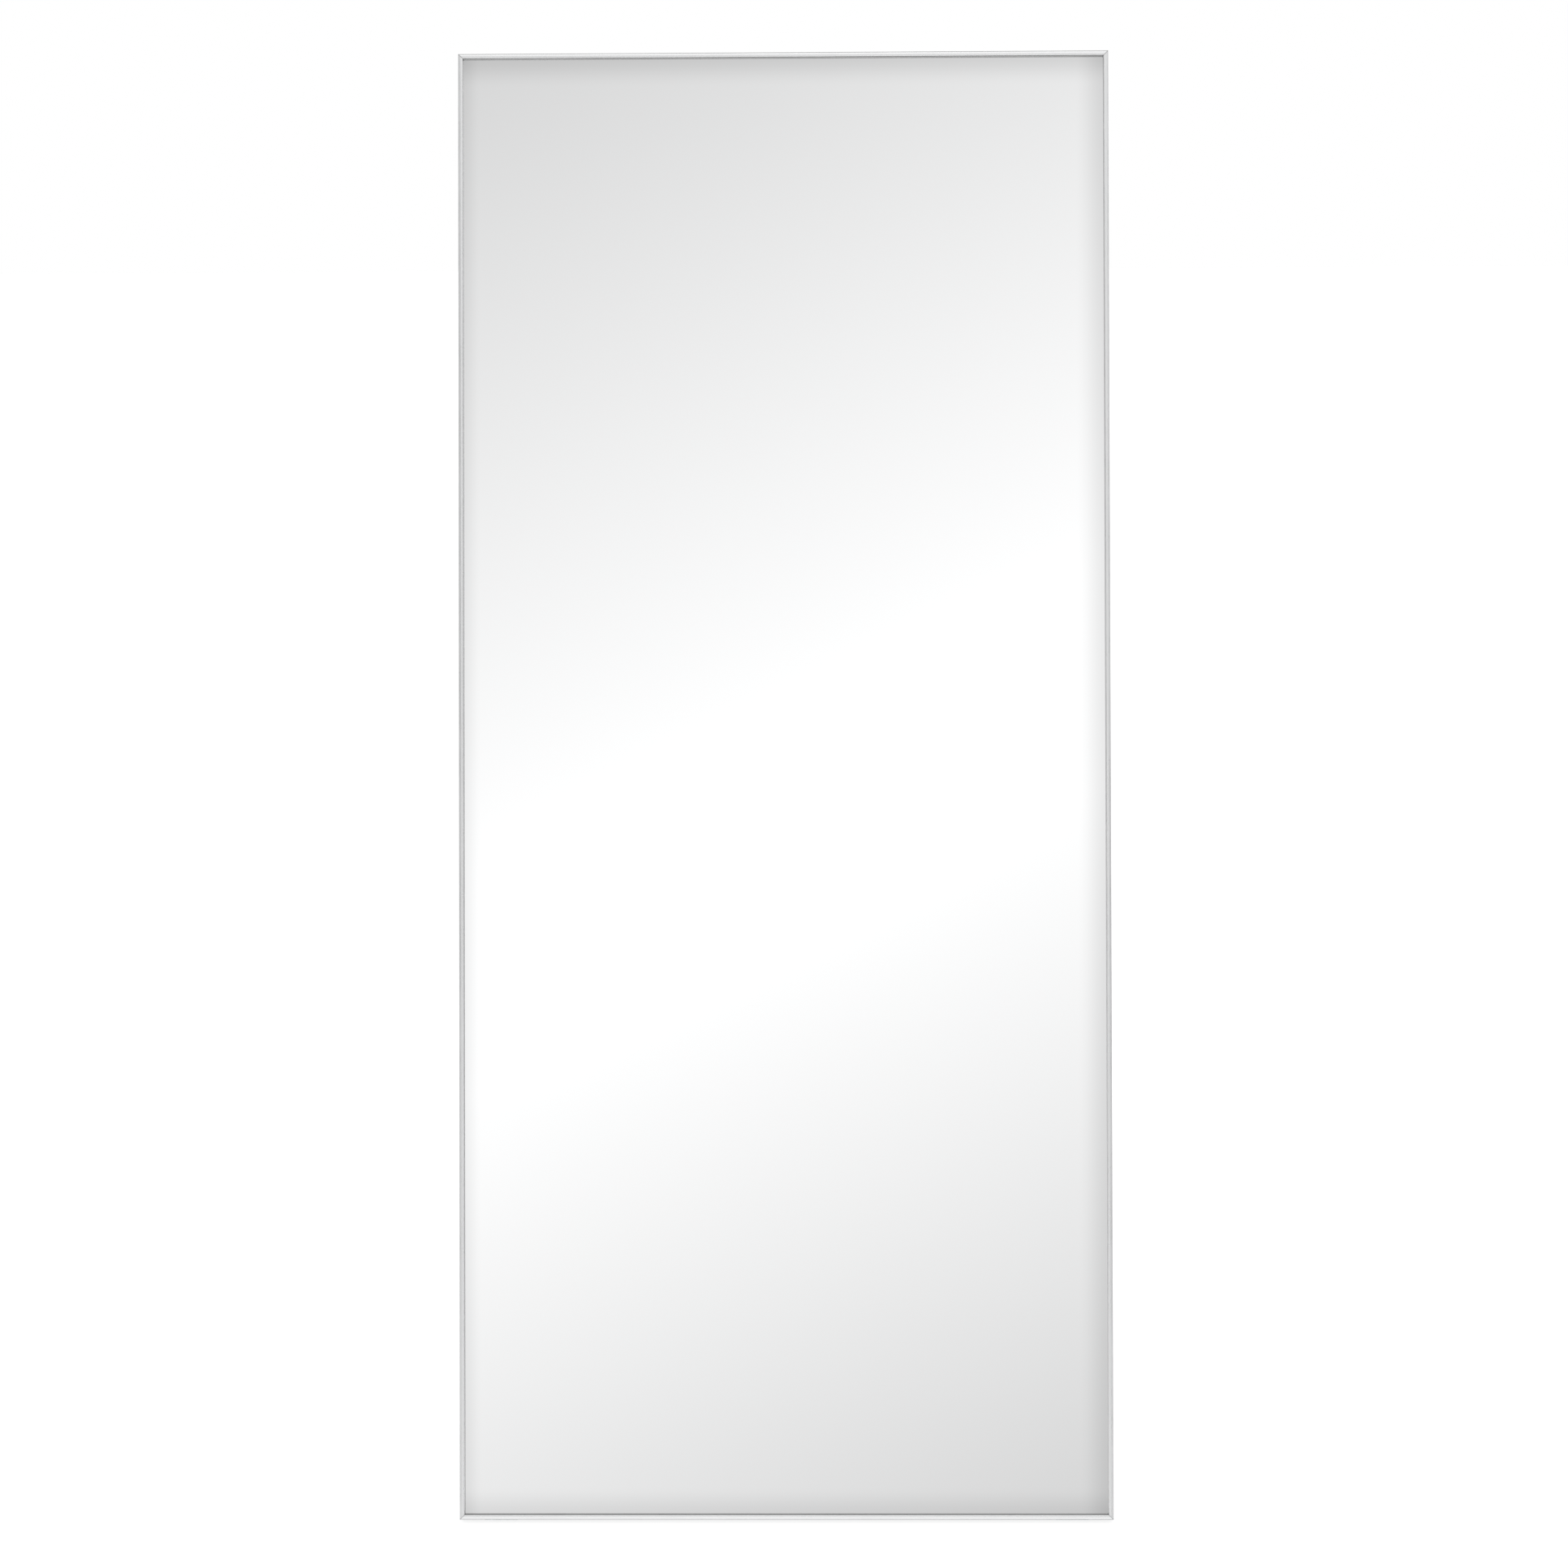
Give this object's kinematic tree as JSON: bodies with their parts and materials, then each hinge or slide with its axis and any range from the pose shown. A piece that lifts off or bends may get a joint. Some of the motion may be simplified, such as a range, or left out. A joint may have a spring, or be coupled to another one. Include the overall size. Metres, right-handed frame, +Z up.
{
  "type": "floor mirror",
  "caption": "Tall rectangular floor mirror in a thin mitred silver aluminium frame, leaning on a U-shaped tube stand that folds flat against its back.",
  "frame": {"origin": "centre of the overall box's bottom, on the floor", "axes": "+Z up, X across the mirror's width, -Y the way the glass faces, +Y towards the stand"},
  "size_m": [0.8, 0.4006, 1.7826],
  "materials": {
    "frame_aluminium": "satin silver anodised extrusion",
    "key_zinc": "as-cast zinc alloy, dull",
    "screw_steel": "bright zinc-plated steel",
    "mirror_silver": "silvered float glass, polished",
    "film_vinyl": "thin vinyl safety film, matt",
    "gasket_rubber": "dark glazing rubber, matt",
    "foam_tape_white": "white closed-cell foam tape",
    "backing_hardboard": "hardboard, light brown face, fine fibre",
    "pad_clear": "clear silicone, soft gloss",
    "bracket_zinc": "zinc die casting, satin nickel plated",
    "nylon_white": "natural nylon",
    "stand_paint": "silver powder coat on steel tube, fine texture",
    "sleeve_steel": "zinc-plated steel tube",
    "foot_rubber": "black rubber, matt"
  },
  "bodies": {
    "mirror": {"bottom_rail": "frame_aluminium", "top_rail": "frame_aluminium", "left_rail": "frame_aluminium", "right_rail": "frame_aluminium", "corner_key_bottom_left": "key_zinc", "corner_key_bottom_right": "key_zinc", "corner_key_top_left": "key_zinc", "corner_key_top_right": "key_zinc", "corner_key_screws": "screw_steel", "bracket_screws": "screw_steel", "pivot_bolt_left": "screw_steel", "pivot_bolt_right": "screw_steel", "pivot_nuts": "screw_steel", "mirror_glass": "mirror_silver", "safety_film": "film_vinyl", "glazing_gasket": "gasket_rubber", "foam_tape": "foam_tape_white", "backing_board": "backing_hardboard", "foot_pad_left": "pad_clear", "foot_pad_right": "pad_clear", "hinge_bracket_left": "bracket_zinc", "hinge_bracket_right": "bracket_zinc", "pivot_washers": "nylon_white", "stand_bumper_left": "foot_rubber", "stand_bumper_right": "foot_rubber"},
    "stand": {"foot_crossbar": "stand_paint", "joint_screws": "screw_steel", "fitting_rivets": "screw_steel", "end_fitting_left": "bracket_zinc", "end_fitting_right": "bracket_zinc", "pivot_bush_left": "nylon_white", "pivot_bush_right": "nylon_white", "leg_tube_left": "stand_paint", "leg_tube_right": "stand_paint", "joint_sleeve_left": "sleeve_steel", "joint_sleeve_right": "sleeve_steel", "rubber_foot_left": "foot_rubber", "rubber_foot_right": "foot_rubber"}
  },
  "joints": [
    {"name": "stand_fold", "type": "hinge", "parent": "mirror", "child": "stand", "pos_m": [0, 0.03442, 1.23329], "axis": [-1, 0, 0], "range_deg": [0, 16.19]}
  ]
}
